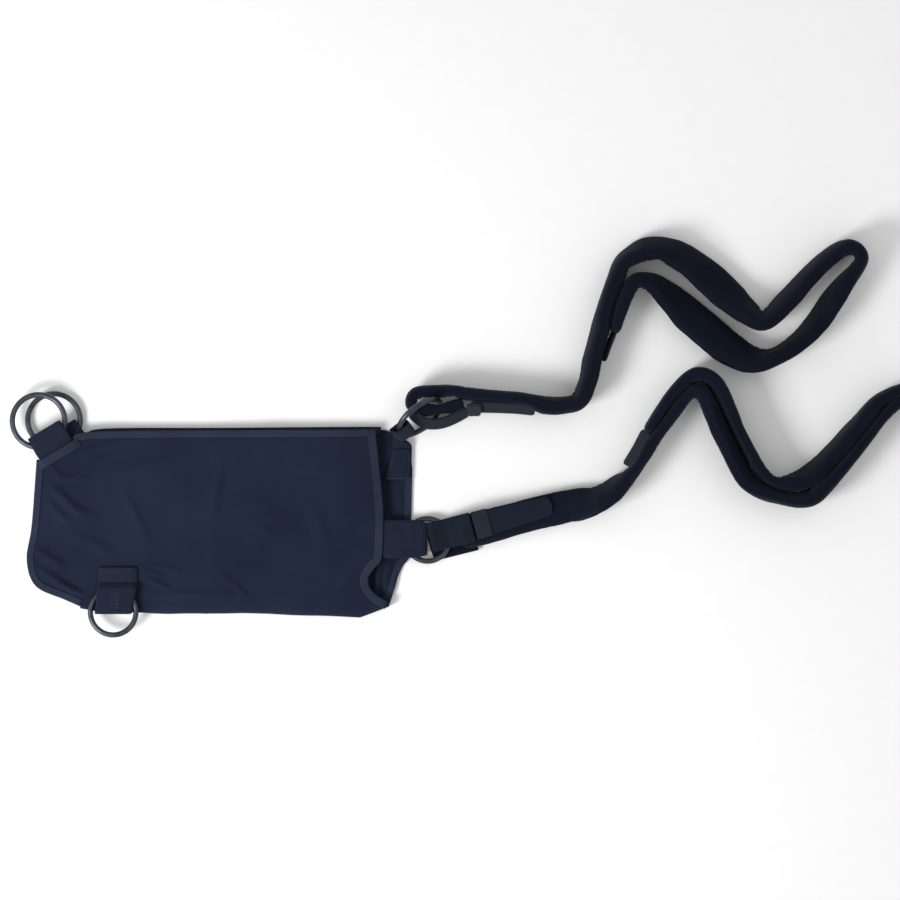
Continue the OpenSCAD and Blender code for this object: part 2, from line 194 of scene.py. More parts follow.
def piece(name, verts, faces, material):
    mesh = bpy.data.meshes.new(name)
    mesh.from_pydata([tuple(float(c) * MM for c in v) for v in verts], [], faces)
    mesh.update()
    mesh.materials.append(material)
    mesh.polygons.foreach_set("use_smooth", [True] * len(mesh.polygons))
    obj = bpy.data.objects.new(name, mesh)
    bpy.context.scene.collection.objects.link(obj)
    return obj


def closed_grid(top, bottom):
    """Vertices and faces of the solid between two grids of points."""
    rows, cols = top.shape[:2]
    n = rows * cols
    verts = np.concatenate([top.reshape(-1, 3), bottom.reshape(-1, 3)])
    faces = []
    for i in range(rows - 1):
        for j in range(cols - 1):
            a, b = i * cols + j, i * cols + j + 1
            c, d = (i + 1) * cols + j + 1, (i + 1) * cols + j
            faces.append((a, b, c, d))
            faces.append((n + a, n + d, n + c, n + b))
    rim = ([(0, j) for j in range(cols)] + [(i, cols - 1) for i in range(1, rows)]
           + [(rows - 1, j) for j in range(cols - 2, -1, -1)]
           + [(i, 0) for i in range(rows - 2, 0, -1)])
    for k, (i, j) in enumerate(rim):
        i2, j2 = rim[(k + 1) % len(rim)]
        a, b = i * cols + j, i2 * cols + j2
        faces.append((b, a, n + a, n + b))
    return verts, faces


def ribbon_mesh(path, side, thickness, cols=11):
    """A flat tape: `side` is its half-width vector at each point of its path."""
    path = np.asarray(path, float)
    side = np.asarray(side, float)
    tangent = np.gradient(path, axis=0)
    normal = unit_rows(np.cross(tangent, side))
    across = np.linspace(-1, 1, cols)
    edge = thickness / 2 * (1 - 0.55 * np.clip(np.abs(across) * 8 - 7, 0, 1) ** 2)
    mid = path[:, None, :] + side[:, None, :] * across[None, :, None]
    lift = normal[:, None, :] * edge[None, :, None]
    return closed_grid(mid + lift, mid - lift)


def ribbon(name, path, side, thickness, material, cols=11):
    verts, faces = ribbon_mesh(path, side, thickness, cols)
    return piece(name, verts, faces, material)


def stitches(name, lines, pitch=3.2):
    """Short raised threads along lines of 3-D points, one mesh for all."""
    radius, flatness, sides = 0.28, 1.4, 6
    verts, faces = [], []
    for line in lines:
        line = np.asarray(line, float)
        along = path_length(line)
        for k in range(int(along[-1] / pitch)):
            ends = [np.array([np.interp((k + f) * pitch, along, line[:, c]) for c in range(3)])
                    for f in (0.12, 0.5, 0.88)]
            d = unit(ends[2] - ends[0])
            s = unit(np.cross(d, (0, 0, 1)) if abs(d[2]) < 0.9 else np.cross(d, (1, 0, 0)))
            up = np.cross(s, d)
            base = len(verts)
            for centre, size in zip(ends, (0.45, 1.0, 0.45)):
                for a in range(sides):
                    t = 2 * math.pi * a / sides
                    verts.append(centre + radius * size * (flatness * math.cos(t) * s
                                                           + math.sin(t) * up))
            for r in (base, base + sides):
                for a in range(sides):
                    b = (a + 1) % sides
                    faces.append((r + a, r + b, r + sides + b, r + sides + a))
            faces.append(tuple(base + a for a in reversed(range(sides))))
            faces.append(tuple(base + 2 * sides + a for a in range(sides)))
    return piece(name, verts, faces, THREAD)


# ---- materials ----
def new_material(name):
    m = bpy.data.materials.new(name)
    m.use_nodes = True
    tree = m.node_tree
    shader = tree.nodes["Principled BSDF"]
    coords = tree.nodes.new("ShaderNodeTexCoord")
    return m, tree, shader, coords.outputs["Object"]


def node(tree, kind, **inputs):
    """A node with its inputs set; an underscore in a keyword stands for a space."""
    n = tree.nodes.new(kind)
    for key, value in inputs.items():
        n.inputs[key.replace("_", " ")].default_value = value
    return n


def add_share(tree, base, share, extra):
    """base + share * extra, as a node's output."""
    total = tree.nodes.new("ShaderNodeMath")
    total.operation = "MULTIPLY_ADD"
    total.inputs[1].default_value = share
    tree.links.new(extra, total.inputs[0])
    tree.links.new(base, total.inputs[2])
    return total.outputs[0]


def colour_ramp(tree, shader, tone, dark, light, start=0.0, end=1.0):
    """Colour a shader from dark, where tone is `start`, to light, where it is `end`."""
    ramp = tree.nodes.new("ShaderNodeValToRGB")
    for stop, at, colour in zip(ramp.color_ramp.elements, (start, end), (dark, light)):
        stop.position = at
        stop.color = (*colour, 1)
    tree.links.new(tone, ramp.inputs["Fac"])
    tree.links.new(ramp.outputs["Color"], shader.inputs["Base Color"])


def add_bump(tree, shader, height, strength, depth):
    bump = node(tree, "ShaderNodeBump", Strength=strength, Distance=depth)
    tree.links.new(height, bump.inputs["Height"])
    tree.links.new(bump.outputs["Normal"], shader.inputs["Normal"])


def fabric(name, dark, light, weave, depth, direction="DIAGONAL"):
    """Woven cloth: fine ribs, a slower slub, and patches where the dye is worn."""
    m, tree, shader, coords = new_material(name)
    ribs = node(tree, "ShaderNodeTexWave", Scale=weave, Distortion=1.2, Detail=2.0,
                Detail_Scale=3.0)
    ribs.bands_direction = direction
    cross = node(tree, "ShaderNodeTexWave", Scale=weave * 1.3, Distortion=0.8)
    cross.bands_direction = "Y" if direction != "Y" else "X"
    patches = node(tree, "ShaderNodeTexNoise", Scale=14.0, Detail=5.0, Roughness=0.6)
    fuzz = node(tree, "ShaderNodeTexNoise", Scale=900.0, Detail=3.0, Roughness=0.7)
    for texture in (ribs, cross, patches, fuzz):
        tree.links.new(coords, texture.inputs["Vector"])
    cloth = add_share(tree, ribs.outputs["Fac"], 0.35, cross.outputs["Fac"])
    tone = add_share(tree, patches.outputs["Fac"], 0.3, cloth)
    colour_ramp(tree, shader, tone, dark, light, 0.25, 0.95)
    height = add_share(tree, cloth, 0.5, fuzz.outputs["Fac"])
    add_bump(tree, shader, height, 0.55, depth)
    shader.inputs["Roughness"].default_value = 0.9
    shader.inputs["Sheen Weight"].default_value = 0.04
    shader.inputs["Sheen Roughness"].default_value = 0.5
    shader.inputs["Specular IOR Level"].default_value = 0.09
    return m


def ring_metal():
    """Dark plated wire, satin, with fine drawing marks and rubbed patches."""
    m, tree, shader, coords = new_material("ring_metal")
    rub = node(tree, "ShaderNodeTexNoise", Scale=120.0, Detail=6.0, Roughness=0.7)
    fine = node(tree, "ShaderNodeTexNoise", Scale=1500.0, Detail=2.0)
    gloss = node(tree, "ShaderNodeMapRange", To_Min=0.28, To_Max=0.5)
    tree.links.new(coords, rub.inputs["Vector"])
    tree.links.new(coords, fine.inputs["Vector"])
    tree.links.new(rub.outputs["Fac"], gloss.inputs["Value"])
    tree.links.new(gloss.outputs["Result"], shader.inputs["Roughness"])
    colour_ramp(tree, shader, rub.outputs["Fac"], (0.035, 0.039, 0.052), (0.1, 0.106, 0.128),
                0.35, 0.75)
    add_bump(tree, shader, fine.outputs["Fac"], 0.2, 0.00005)
    shader.inputs["Metallic"].default_value = 0.85
    return m


def floor_material():
    m, tree, shader, coords = new_material("floor")
    grain = node(tree, "ShaderNodeTexNoise", Scale=60.0, Detail=4.0)
    tree.links.new(coords, grain.inputs["Vector"])
    colour_ramp(tree, shader, grain.outputs["Fac"], (0.92,) * 3, (0.95,) * 3)
    shader.inputs["Roughness"].default_value = 0.8
    return m


# Name, dark and light colour, scale of the weave, and depth of its relief in metres
TWILL = fabric("twill", (0.0055, 0.0088, 0.0205), (0.0125, 0.019, 0.0395), 320, 0.00025)
HEM = fabric("hem_twill", (0.0115, 0.016, 0.03), (0.0245, 0.0325, 0.0565), 320, 0.00025)
WEBBING = fabric("webbing", (0.0055, 0.0085, 0.0195), (0.0135, 0.0195, 0.0385), 190, 0.0003, "X")
SLEEVE = fabric("sleeve_knit", (0.0015, 0.0028, 0.0075), (0.0048, 0.008, 0.0185), 260, 0.0003, "Y")
TAPE = fabric("hook_tape", (0.0045, 0.0078, 0.0145), (0.011, 0.0165, 0.029), 420, 0.0004, "X")
TAPE_LIGHT = fabric("hook_tape_overlap", (0.0085, 0.0128, 0.0215), (0.0195, 0.0265, 0.0405), 420,
                    0.0004, "X")
THREAD = fabric("thread", (0.018, 0.0245, 0.04), (0.045, 0.054, 0.077), 900, 0.0001, "X")
METAL = ring_metal()


# ---- the folded sheet ----
# Creases on the front leaf: start, end, half width and height
FRONT_CREASES = [((-417, -28), (-405, -42), 3.0, 1.3), ((-405, -42), (-380, -41), 2.6, 1.4),
                 ((-392, -41), (-366, -20), 2.6, 1.5), ((-416, -50), (-388, -74), 4.0, 1.6),
                 ((-420, -64), (-396, -88), 3.2, 1.0), ((-400, -70), (-376, -78), 3.5, 1.0),
                 ((-432, -112), (-404, -130), 4.5, 1.6), ((-428, -132), (-386, -160), 3.5, 1.4),
                 ((-408, -146), (-380, -158), 2.6, 1.0), ((-396, -96), (-352, -118), 5.0, 0.9),
                 ((-344, -52), (-318, -106), 4.5, 0.8), ((-326, -138), (-298, -152), 2.4, 1.4),
                 ((-330, -130), (-304, -140), 2.2, 1.1), ((-322, -128), (-286, -134), 2.2, 0.8),
                 ((-320, -158), (-222, -158), 3.0, 1.2), ((-250, -134), (-220, -158), 3.2, 1.0),
                 ((-212, -88), (-184, -104), 3.6, 0.8), ((-258, -12), (-276, -66), 6.0, -1.5),
                 ((-244, -18), (-256, -80), 6.0, 1.0), ((-160, -60), (-140, -110), 8.0, 0.8),
                 ((-350, -36), (-302, -22), 4.0, 0.7), ((-384, -14), (-330, -2), 3.0, 0.7),
                 ((-110, -150), (-150, -166), 3.0, 1.0), ((-104, -120), (-128, -150), 4.0, 1.0)]
# Pleats of the back leaf in the open mouth beside the lower tab
BACK_CREASES = [((-88, -126), (-92, -162), 3.4, 6.0), ((-78, -128), (-84, -164), 3.0, 7.0),
                ((-68, -134), (-77, -160), 2.6, 4.5), ((-74, -48), (-66, -72), 5.0, 2.5),
                ((-70, -8), (-92, -40), 4.0, 1.5)]
CREASE_GAIN = 2.8
PLEAT_GAIN = 0.7
# Slow waves of the front leaf: height, size and seed
WAVES = [(1.7, 70, 1), (1.0, 28, 2), (0.2, 9, 3)]
# Where tabs are sewn down and hold the front leaf flat, and how far and how firmly they do
SEWN_AT = [(-353, -155), (-411, -10), (-92, -99)]
HELD_RADIUS = 26
HELD_SHARE = 0.8
# Dips are shallower than rises, because the back leaf lies under them
DIP_SHARE = 0.35
DEEPEST_DIP = 0.8


def crease_height(x, y, creases):
    """Ridges along straight lines, each highest at its middle."""
    total = np.zeros_like(x)
    for (x0, y0), (x1, y1), half, height in creases:
        d = np.array([x1 - x0, y1 - y0], float)
        length = np.linalg.norm(d)
        t = np.clip(((x - x0) * d[0] + (y - y0) * d[1]) / length ** 2, 0, 1)
        away = np.hypot(x - x0 - t * d[0], y - y0 - t * d[1])
        fade = np.sin(math.pi * np.clip(t * 0.9 + 0.05, 0, 1)) ** 0.6
        total += height * fade * np.exp(-(away / half) ** 2)
    return total


def front_height(x, y):
    """Middle of the front leaf above the floor."""
    x, y = np.asarray(x, float), np.asarray(y, float)
    off_fold = np.clip((y - FOLD_Y) / 14, 0, 1)
    soft = sum(height * value_noise(x, y, cell, seed) for height, cell, seed in WAVES)
    soft += CREASE_GAIN * crease_height(x, y, FRONT_CREASES)
    soft = np.where(soft > 0, soft, np.maximum(DIP_SHARE * soft, -DEEPEST_DIP))
    held = sum(np.exp(-((x - cx) ** 2 + (y - cy) ** 2) / HELD_RADIUS ** 2) for cx, cy in SEWN_AT)
    return FRONT_Z + off_fold * (soft * (1 - HELD_SHARE * np.clip(held, 0, 1)) - 0.3)


def back_height(x, y):
    """Middle of the back leaf above the floor."""
    x, y = np.asarray(x, float), np.asarray(y, float)
    shown = np.clip((x + 120) / 25, 0, 1)
    pleats = PLEAT_GAIN * crease_height(x, y, BACK_CREASES)
    return BACK_Z + shown * (pleats + 0.3 + 0.3 * value_noise(x, y, 20, 4))


def between(table, at):
    """The second value of a table of pairs, interpolated at values of the first."""
    t = np.array(table, float)
    return np.interp(at, t[:, 0], t[:, 1])


def leaf_row(level, left, right, top, columns):
    """Plan positions of one row of a leaf, from 0 at the fold to 1 at its free edge."""
    u = np.linspace(0, 1, columns)
    t = np.array(top, float)
    y_side = FOLD_Y + level * (t[:, 1].mean() - FOLD_Y)
    x0, x1 = between(left, y_side), between(right, y_side)
    x = x0 + u * (x1 - x0)
    y = FOLD_Y + level * (np.interp(x, t[:, 0], t[:, 1]) - FOLD_Y)
    return x, y


def sheet_surface():
    """Middle of the sheet: rows from the back leaf's free edge to the fold, round the fold,
    and on to the front leaf's free edge."""
    columns, leaf_rows, roll_rows = 190, 92, 10
    half_rise = 5.6
    rows = []
    levels = np.linspace(1, 0, leaf_rows)
    for level in levels:
        x, y = leaf_row(level, BACK_LEFT, BACK_RIGHT, BACK_TOP, columns)
        rows.append(np.stack([x, y, back_height(x, y)], axis=1))
    back = rows[-1][:, 0]
    front, _ = leaf_row(0, FRONT_LEFT, FRONT_RIGHT, FRONT_TOP, columns)
    for f in np.arange(1, roll_rows) / roll_rows:
        a = math.pi * (f - 0.5)
        x = back + (front - back) * f
        bulge = FOLD_R * (1 + 0.12 * value_noise(x, x * 0, 45, 5)) + between(FOLD_SAG, x)
        y = FOLD_Y - math.cos(a) * bulge
        z = np.full_like(x, FOLD_Z + half_rise * math.sin(a))
        rows.append(np.stack([x, y, z], axis=1))
    for level in levels[::-1]:
        x, y = leaf_row(level, FRONT_LEFT, FRONT_RIGHT, FRONT_TOP, columns)
        rows.append(np.stack([x, y, front_height(x, y)], axis=1))
    return np.array(rows)


def offset_both(mid, half):
    """The two faces of a sheet whose middle is a grid of points."""
    normal = np.cross(np.gradient(mid, axis=1), np.gradient(mid, axis=0))
    normal /= np.maximum(np.linalg.norm(normal, axis=2), 1e-9)[:, :, None]
    return mid + normal * half, mid - normal * half


def make_sheet():
    """The whole cloth as one mesh, from the back leaf round the rolled fold to the front leaf."""
    mid = sheet_surface()
    upper, lower = offset_both(mid, SHEET_T / 2)
    verts, faces = closed_grid(upper, lower)
    sheet = piece("twill_sheet", verts, faces, TWILL)
    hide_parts("back_leaf", "front_leaf", "fold_strip")
    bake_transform(sheet)


def edge_hem(name, edge, height, inward, body, replaced, width=HEM_W):
    """A folded hem along one edge: `inward` is +1 where the leaf is on its left. It gives
    the line of its seam."""
    overhang, sunk, thickness, seam_inset = 0.3, 0.2, 1.1, 1.3
    line = catmull([(x, y, 0) for x, y in edge], 4)[:, :2]
    normal = left_of(line) * inward
    mid = line + normal * (width / 2 - overhang)
    lift = SHEET_T / 2 + thickness / 2 - sunk
    path = np.c_[mid, height(mid[:, 0], mid[:, 1]) + lift]
    side = np.c_[normal * width / 2, np.zeros(len(line))]
    hem = ribbon(name, path, side, thickness, HEM, cols=9)
    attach(hem, body)
    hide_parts(replaced)
    seam = line + normal * (width - seam_inset)
    return np.c_[seam, height(seam[:, 0], seam[:, 1]) + lift + thickness / 2 + 0.07]


def make_hems():
    front_left = [(x, y) for y, x in FRONT_LEFT[1:7]]
    front_right = [(x, y) for y, x in FRONT_RIGHT[1:-1]] + [(-92, 8)]
    back_left = [(x, y) for y, x in BACK_LEFT[1:7]]
    back_right = [(x, y) for y, x in BACK_RIGHT[1:8]]
    seams = {
        "front_panel": [
            edge_hem("front_left_hem_cloth", front_left, front_height, -1, "front_panel",
                     "front_left_hem"),
            edge_hem("front_top_hem_cloth", [(-394, -2), (-385, 4), (-327, 6), (-127, 7), (-97, 8)],
                     front_height, -1, "front_panel", "front_top_hem"),
            edge_hem("front_right_hem_cloth", front_right, front_height, 1, "front_panel",
                     "front_right_hem", width=HEM_W + 1)],
        "back_panel": [
            edge_hem("back_left_hem_cloth", back_left, back_height, -1, "back_panel",
                     "back_left_hem"),
            edge_hem("back_top_hem_cloth", [(-379, -1), (-366, 8), (-240, 9), (-100, 10), (-86, 9)],
                     back_height, -1, "back_panel", "back_top_hem"),
            edge_hem("back_right_hem_cloth", back_right, back_height, 1, "back_panel",
                     "back_right_hem")]}
    for body, lines in seams.items():
        threads = stitches(body.replace("panel", "hem_stitches"), lines)
        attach(threads, body)


# ---- rings ----
def joint(name):
    return next(j for j in frame["joints"] if j["name"] == name)


def ring_place(name):
    """Centre, axis and outer diameter of a ring, from its joint and its CAD solid."""
    j = joint(name + "_spin")
    corners = [np.array(v.co) / MM for v in frame["nodes"][name].data.vertices]
    centre = np.array(j["pos_m"]) / MM
    outer = max(np.linalg.norm(c - centre) for c in corners) * 2
    return centre, unit(j["axis"]), outer


def make_ring(name):
    """A round wire closed by a faint weld."""
    centre, axis, outer = ring_place(name)
    major, minor = (outer - WIRE_D) / 2, WIRE_D / 2
    first = unit(np.cross(axis, (0.3, 0.2, 1)) if abs(axis[2]) < 0.9 else np.cross(axis, (0, 1, 0)))
    second = np.cross(axis, first)
    around, section = 144, 24
    weld_at, weld_width, weld_swell = 2.2, 0.03, 0.05
    verts, faces = [], []
    for i in range(around):
        a = 2 * math.pi * i / around
        out = math.cos(a) * first + math.sin(a) * second
        weld = 1 + weld_swell * math.exp(-((a - weld_at) / weld_width) ** 2)
        for k in range(section):
            t = 2 * math.pi * k / section
            verts.append(centre + out * (major + minor * weld * math.cos(t))
                         + axis * minor * weld * math.sin(t))
            faces.append((i * section + k, (i + 1) % around * section + k,
                          (i + 1) % around * section + (k + 1) % section,
                          i * section + (k + 1) % section))
    ring = piece(name + "_wire", verts, faces, METAL)
    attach(ring, name)
    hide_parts(name)


# ---- webbing tabs ----
PLY_HEIGHTS = (0.75, 2.3)    # of the middles of a sewn end's two plies above its leaf
ROW_HEIGHT = 3.12            # of its stitches


def turn_back(fold, side=1):
    """The half turn of a tape whose fold is `fold` from a ring's centre, from one side of
    the ring's plane to the other: distance from the centre and height."""
    middle = fold + LOOP_H
    return [(middle - LOOP_H * math.sin(a), side * LOOP_H * math.cos(a))
            for a in np.linspace(0.1, 3.04, 12)]


def loop_profile(outer, fold, end):
    """Route of one layer of webbing round a ring's wire: distance from the ring's centre
    towards the stitching, and height above the ring's plane."""
    low = -POCKET_H + TAPE_T / 2
    straight = fold + LOOP_H + 4
    return ([(end, low + TAPE_T), (outer / 2 + 3, low + TAPE_T + 0.2),
             (outer / 2 - 1, LOOP_H * 0.8), (outer / 2 - 6, LOOP_H), (straight, LOOP_H)]
            + turn_back(fold) + [(straight, -LOOP_H), (outer / 2, -LOOP_H), (end, low)])


def tab_loop(name, centre, towards, outer, fold, end, width, body, replaced, flip=1,
             narrowing=0.05, skew=0.0, flare=0.0):
    """Webbing folded round a ring. `towards` points from the ring to the stitching, and
    `skew` is how far to the side the stitching lies. `flare` widens the ply on top."""
    up = np.array((0, 0, 1.0))
    u = unit(towards)
    s = np.cross(up, u)
    line = catmull([(a, b, 0) for a, b in loop_profile(outer, fold, end)], 1.6)
    path = np.array([centre + u * a + up * b * flip + s * skew * (a - fold) / (end - fold)
                     for a, b, _ in line])
    waist = [1 - narrowing * math.exp(-((a - fold) / (end - fold) / 0.6) ** 2)
             + flare * clamp((a - fold) / 9) * (b * flip > 1) for a, b, _ in line]
    side = np.array([s * width / 2 * w for w in waist])
    loop = ribbon(name, path, side, TAPE_T, WEBBING, cols=15)
    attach(loop, body)
    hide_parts(*replaced)
    return u, s


def sewn_end(name, start, u, s, length, width, body, replaced, height, up=1, rows=None,
             taper=1.0, shift=0.0):
    """The sewn part of a tab: two plies that follow the leaf, with a box of stitches. Where
    it begins it is `taper` times as wide, and `shift` to the side."""
    steps = np.linspace(0, length, max(4, int(length / 2)))
    scale = taper + (1 - taper) * steps / length
    centre = np.array([start + u * d + s * shift * (1 - d / length) for d in steps])
    base = height(centre[:, 0], centre[:, 1]) + up * SHEET_T / 2
    base = np.maximum(base, base.mean() - 0.4) if up > 0 else base
    side = np.outer(scale, s * width / 2)
    verts, faces = [], []
    for ply, share in zip(PLY_HEIGHTS, (1, 0.985)):
        path = np.c_[centre[:, :2], base + up * ply]
        v, f = ribbon_mesh(path, side * share, TAPE_T, 9)
        faces += [tuple(i + len(verts) for i in face) for face in f]
        verts += list(v)
    end = piece(name, verts, faces, WEBBING)
    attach(end, body)
    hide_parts(replaced)
    box = []
    for inset in rows or (1.6, 4.6):
        a, b = inset, length - inset
        w = width / 2 - inset
        if b - a < 1:
            continue
        for p, q in (((a, -w), (a, w)), ((a, w), (b, w)), ((b, w), (b, -w)), ((b, -w), (a, -w))):
            line = []
            for t in np.linspace(0, 1, 12):
                d = p[0] + (q[0] - p[0]) * t
                across = (p[1] + (q[1] - p[1]) * t) * (taper + (1 - taper) * d / length)
                line.append(start + u * d + s * (across + shift * (1 - d / length)))
            z = np.interp([(v - start) @ u for v in line], steps, base) + up * ROW_HEIGHT
            box.append([(v[0], v[1], h) for v, h in zip(line, z)])
    threads = stitches(name + "_stitches", box, pitch=2.8)
    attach(threads, body)


def make_flat_tab(name, ring, leaf_body, height, fold, end_length=11.0, rows=None, skew=0.0):
    """A tab whose ring lies flat: its moving loop and its sewn end. `fold` is how far from
    the ring's centre, towards the stitching, its tape turns back."""
    centre, _, outer = ring_place(ring)
    stitch = np.array(joint(name + "_flex")["pos_m"]) / MM
    towards = np.array((stitch[0] - centre[0], stitch[1] - centre[1], 0))
    if abs(towards[0]) > 3 * abs(towards[1]):
        towards[1] = 0
    end = np.linalg.norm(towards)
    flip = 1 if centre[2] > height(stitch[0], stitch[1]) else -1
    u, s = tab_loop(name + "_loop", centre, towards, outer, fold, end, TAPE_W, name, [name],
                    flip, skew=skew)
    start = centre + u * (end + 0.2) + s * skew
    sewn_end(name + "_sewn", start, u, s, end_length, TAPE_W, leaf_body, name + "_end", height,
             rows=rows)
    return centre, u, s, outer, end


def make_corner_band(centre, u, s, end):
    """The hem that crosses a corner tab and meets the hems of the left and top edges."""
    beyond_loop, half_width, thickness, rise = 5.8, 4.3, 0.9, 2.7
    steps = np.linspace(-22.5, 24, 40)
    line = centre + u * (end + beyond_loop) + np.outer(steps, s)
    over_tab = 1 / (1 + np.exp((np.abs(steps) - TAPE_W / 2 - 1.1) / 0.9))
    z = front_height(line[:, 0], line[:, 1]) + SHEET_T / 2
    z = 0.7 + z * (1 - over_tab) + over_tab * (np.maximum(z, z.mean()) + rise)
    path = np.c_[line[:, :2], z]
    side = np.tile(u * half_width, (len(path), 1))
    band = ribbon("front_corner_band", path, side, thickness, HEM, cols=9)
    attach(band, "front_panel")
    rows = [path + u * d + np.array((0, 0, 0.6)) for d in (-3.2, 3.2)]
    threads = stitches("front_corner_band_stitches", rows, pitch=2.8)
    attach(threads, "front_panel")


def make_tabs():
    centre, u, s, _, end = make_flat_tab("front_corner_tab", "front_corner_ring",
                                         "front_panel", front_height, fold=10.4, end_length=7.5)
    make_corner_band(centre, u, s, end)
    make_flat_tab("back_corner_tab", "back_corner_ring", "back_panel", back_height, fold=10.4)
    centre, u, s, outer, _ = make_flat_tab("face_tab", "face_ring", "front_panel", front_height,
                                           fold=-1.3, end_length=15.0, rows=(1.4, 4.0, 6.2),
                                           skew=-4.5)
    make_face_column(centre, u, s, outer)


def make_face_column(centre, u, s, outer):
    """The ladder of stitches down the middle of the face tab, slanted as its tape is."""
    half_width, slant = 3.5, 0.15
    top = np.array((0, 0, POCKET_H + 0.05))

    def at(along, across):
        return centre + u * along + s * (across - along * slant) + top

    rails = [[at(d, across) for d in np.linspace(4, outer / 2 - 5, 14)]
             for across in (-half_width, 0, half_width)]
    rungs = [[at(d, across) for across in np.linspace(-half_width, half_width, 4)]
             for d in np.linspace(5, outer / 2 - 6, 5)]
    threads = stitches("face_tab_column_stitches", rails + rungs, pitch=2.6)
    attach(threads, "face_tab")


def make_lower_tab():
    """The tab that comes from under the front leaf's hem to the lower ring."""
    fold, end_length = 0.8, 18.0
    centre, _, outer = ring_place("lower_ring")
    low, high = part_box("lower_tab")
    centre = np.array((centre[0], (low[1] + high[1]) / 2 / MM, centre[2]))
    edge = joint("lower_tab_flex")["pos_m"][0] / MM
    end = centre[0] - edge - FIT
    u, s = tab_loop("lower_tab_loop", centre, (-1, 0, 0), outer, fold, end,
                    (high[1] - low[1]) / MM, "lower_tab", ["lower_tab"], flip=-1, narrowing=0.03,
                    flare=0.17)
    low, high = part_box("lower_tab_end")
    start = centre + u * (end + 0.2)
    start[1] = (low[1] + high[1]) / 2 / MM
    sewn_end("lower_tab_sewn", start, u, s, end_length, TAPE_W, "front_panel", "lower_tab_end",
             lambda x, y: np.full_like(np.asarray(x, float), FRONT_Z), up=-1)


def make_upper_tab():
    """The tab that rises from the back leaf and turns on edge to the tilted ring."""
    centre, axis, outer = ring_place("upper_ring")
    level = unit(np.cross((0, 0, 1), axis))
    if level[0] < 0:
        level = -level
    steep = unit(np.cross(axis, level))
    half = NARROW_W / 2
    fold, end = 12, outer / 2 + 3.5
    root_shift, root_taper, root_z = 4.2, 0.74, 2.4
    low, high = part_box("upper_tab_end")
    x_mid = (low[0] + high[0]) / 2 / MM
    root_y = high[1] / MM
    root = np.array((x_mid + root_shift, root_y, root_z))
    meet = centre - level * end + axis * (TAPE_T - POCKET_H)
    bow = np.array((2.5, 2.0, 0))
    steps = np.linspace(0, 1, 16)
    path = [root + (meet - root) * t + bow * math.sin(math.pi * t) for t in steps]
    side = [np.array((half * root_taper, 0, 0)) * (1 - ease(t)) - steep * half * ease(t)
            for t in steps]
    riser = ribbon("upper_tab_riser_tape", path, side, 2 * TAPE_T, WEBBING, cols=13)
    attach(riser, "upper_tab")
    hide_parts("upper_tab_riser")
    line = catmull([centre - level * a + axis * b for a, b in loop_profile(outer, fold, end)],
                   1.6)
    tape = ribbon("upper_tab_loop", line, np.tile(-steep * half, (len(line), 1)), TAPE_T,
                  WEBBING, cols=13)
    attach(tape, "upper_tab")
    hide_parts("upper_tab")
    length = (high[1] - low[1]) / MM
    sewn_end("upper_tab_sewn", np.array((x_mid, root_y - 0.2, 0)), np.array((0, -1.0, 0)),
             np.array((1.0, 0, 0)), length - 1, NARROW_W, "back_panel", "upper_tab_end",
             back_height, rows=(3.4,), taper=root_taper, shift=root_shift)
    # The tab's turned-under end along its lower edge, raised a little above the plies. It is drawn
    # in the lighter hem cloth instead of the webbing, as a painted highlight where light catches
    # that edge.
    rim_z = SHEET_T / 2 + 2.6
    rim = [(x, low[1] / MM + 0.6, back_height(x, low[1] / MM) + rim_z)
           for x in np.linspace(low[0] / MM, high[0] / MM, 14)]
    edge = ribbon("upper_tab_turned_end_painted_highlight", rim, np.tile((0, 1.1, 0), (len(rim), 1)), 1.6, HEM,
                  cols=5)
    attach(edge, "back_panel")


# ---- padded straps ----
SIDES = 40
SQUARENESS = 0.72     # 1 gives an oval section, and less a squarer one
ROUND = np.linspace(0, 2 * math.pi, SIDES, endpoint=False)
SECTION_X = np.sign(np.cos(ROUND)) * np.abs(np.cos(ROUND)) ** SQUARENESS
SECTION_Y = np.sign(np.sin(ROUND)) * np.abs(np.sin(ROUND)) ** SQUARENESS
TURNS = np.radians(np.arange(0, 91, 1.0))
SPACING = 2.4         # between sections along a band
FLIP_LENGTH = 50      # over which a band's lean changes sides
RISE_LENGTH = 30      # over which a flat band turns on edge
PAD_LENGTH = 25       # over which a band goes down to the pad in the ring
END_RADIUS = 7
FLOOR_GAP = 0.15      # from the floor to the lowest cloth
SHARP_BEND = 0.035    # curvature, per mm, where the folds at a bend are at their deepest
PUCKER, SLACK, FINE = 1.5, 0.5, 0.2    # depths of those folds, of slack cloth, of fine creases


def reach(turn, half, thick):
    """Half width in plan, and half height, of the band turned by `turn` from flat."""
    x, y = SECTION_X * half, SECTION_Y * thick
    return (np.max(x * math.cos(turn) - y * math.sin(turn)),
            np.max(x * math.sin(turn) + y * math.cos(turn)))


PLAN_REACH = np.minimum.accumulate([reach(t, BAND_HALF, BAND_THICK)[0] for t in TURNS])


def cloth_wrinkles(along, px, pz, bend, plan_half):
    """How far the cloth dips: folds that fan out on the inner side of a bend, and slack."""
    inner = np.clip(px / max(plan_half, 1) * np.sign(bend), -0.2, 1)
    tight = min(1.0, abs(bend) / SHARP_BEND)
    phase = along * 0.95 + 1.8 * math.sin(along * 0.19) + 0.05 * pz
    pucker = PUCKER * tight * np.clip(inner + 0.1, 0, 1) * (0.5 + 0.5 * np.sin(phase)) ** 1.5
    slack = SLACK * value_noise(along + 0.4 * pz, pz - 0.3 * px, 15, 13)
    fine = FINE * value_noise(along + 0 * px, pz * 1.2 + px, 5, 14)
    return pucker - slack - fine


